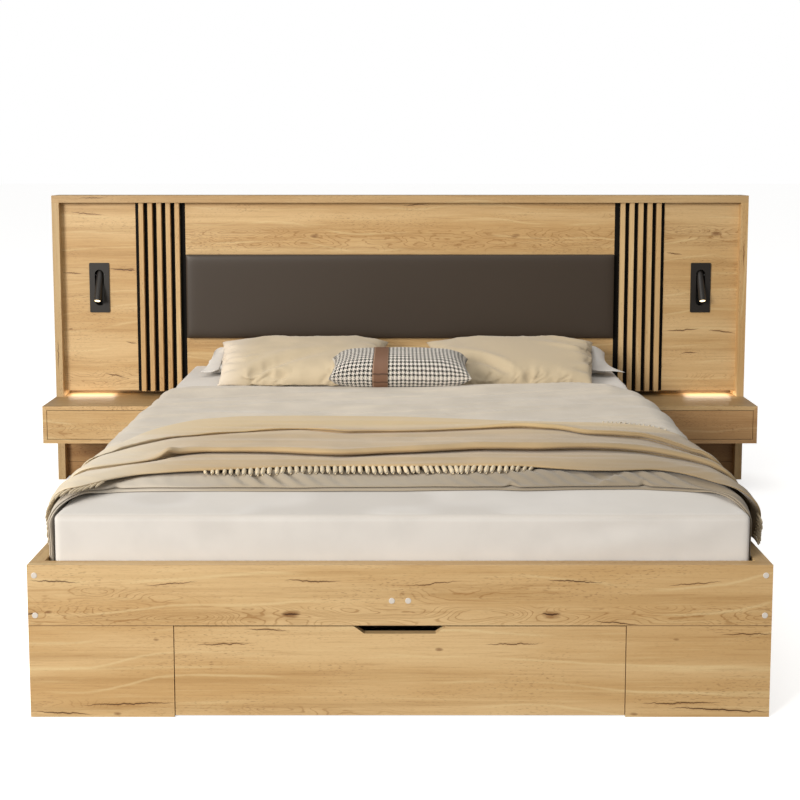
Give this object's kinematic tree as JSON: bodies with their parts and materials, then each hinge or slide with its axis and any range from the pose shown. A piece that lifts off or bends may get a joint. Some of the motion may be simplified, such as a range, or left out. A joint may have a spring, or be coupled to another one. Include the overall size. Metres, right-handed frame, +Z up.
{
  "type": "bed with attached nightstands",
  "caption": "Double bed with a wide panelled headboard, fluted strips, hung nightstands with drawers, reading lamps, a foot drawer and made-up bedding.",
  "frame": {"origin": "on the floor, at the middle of the whole footprint's box", "axes": "+X to the right seen from the foot, +Y from the foot towards the headboard, +Z up"},
  "size_m": [2.714, 2.1608, 1.127],
  "materials": {
    "oak": "oak decor laminate with light texture, matt",
    "black_board": "black melamine-faced board, matt",
    "white_board": "white melamine-faced board, matt",
    "pine": "planed softwood, unfinished",
    "steel": "zinc-plated steel, satin",
    "caps": "white moulded plastic",
    "pad": "dark brown coated upholstery fabric, smooth",
    "led_body": "anodised aluminium",
    "led_light": "emissive warm white opal cover",
    "unit": "black moulded housing",
    "lamp": "dark bronze powder coat",
    "lens": "emissive warm white lens",
    "sheet": "white cotton fitted sheet over foam",
    "duvet": "pale grey cotton",
    "throw": "beige woven throw with tassels",
    "cream": "cream cotton pillowcase",
    "white_case": "white cotton pillowcase",
    "houndstooth": "black and white houndstooth weave"
  },
  "bodies": {
    "bed": {"footboard_rail": "oak", "foot_panels": "oak", "rail_left": "oak", "rail_right": "oak", "side_panels": "oak", "slat_bearers": "pine", "centre_beam": "pine", "centre_legs": "pine", "bed_slats": "pine", "bay_boards": "white_board", "corner_brackets": "steel", "rail_screws": "steel", "screw_caps": "caps", "fixed_slides": "steel", "head_side_left": "oak", "head_side_right": "oak", "head_top": "oak", "centre_panel": "oak", "slat_backings": "black_board", "fluted_strips_left": "oak", "fluted_strips_right": "oak", "wing_panel_left": "oak", "wing_panel_right": "oak", "lower_panels": "oak", "head_battens": "pine", "back_boards": "white_board", "pad_board": "white_board", "headboard_pad": "pad", "led_channels": "led_body", "led_diffusers": "led_light", "power_units": "unit", "lamp_plate_left": "lamp", "lamp_plate_right": "lamp", "lamp_cups": "lamp", "lamp_pins": "steel", "nightstand_top_left": "oak", "nightstand_top_right": "oak", "nightstand_carcass_left": "oak", "nightstand_carcass_right": "oak", "mattress": "sheet", "duvet": "duvet", "throw": "throw", "pillow_left": "cream", "pillow_right": "cream", "back_pillows": "white_case", "lumbar_cushion": "houndstooth"},
    "foot_drawer": {"foot_drawer_front": "oak", "foot_drawer_box": "white_board", "foot_drawer_bottom": "white_board", "foot_drawer_slides": "steel"},
    "nightstand_drawer_left": {"nightstand_front_left": "oak", "nightstand_box_left": "white_board", "nightstand_slides_left": "steel"},
    "nightstand_drawer_right": {"nightstand_front_right": "oak", "nightstand_box_right": "white_board", "nightstand_slides_right": "steel"},
    "lamp_left": {"lamp_tube_left": "lamp", "lamp_lens_left": "lens"},
    "lamp_right": {"lamp_tube_right": "lamp", "lamp_lens_right": "lens"}
  },
  "joints": [
    {"name": "foot_drawer_slide", "type": "slide", "parent": "bed", "child": "foot_drawer", "axis": [0, -1, 0], "range_m": [0, 0.44]},
    {"name": "nightstand_drawer_left_slide", "type": "slide", "parent": "bed", "child": "nightstand_drawer_left", "axis": [0, -1, 0], "range_m": [0, 0.12]},
    {"name": "nightstand_drawer_right_slide", "type": "slide", "parent": "bed", "child": "nightstand_drawer_right", "axis": [0, -1, 0], "range_m": [0, 0.12]},
    {"name": "lamp_left_tilt", "type": "hinge", "parent": "bed", "child": "lamp_left", "pos_m": [-1.183, 1.0094, 0.8125], "axis": [-1, 0, 0], "range_deg": [-28, 62]},
    {"name": "lamp_right_tilt", "type": "hinge", "parent": "bed", "child": "lamp_right", "pos_m": [1.183, 1.0094, 0.8125], "axis": [-1, 0, 0], "range_deg": [-28, 62]}
  ]
}
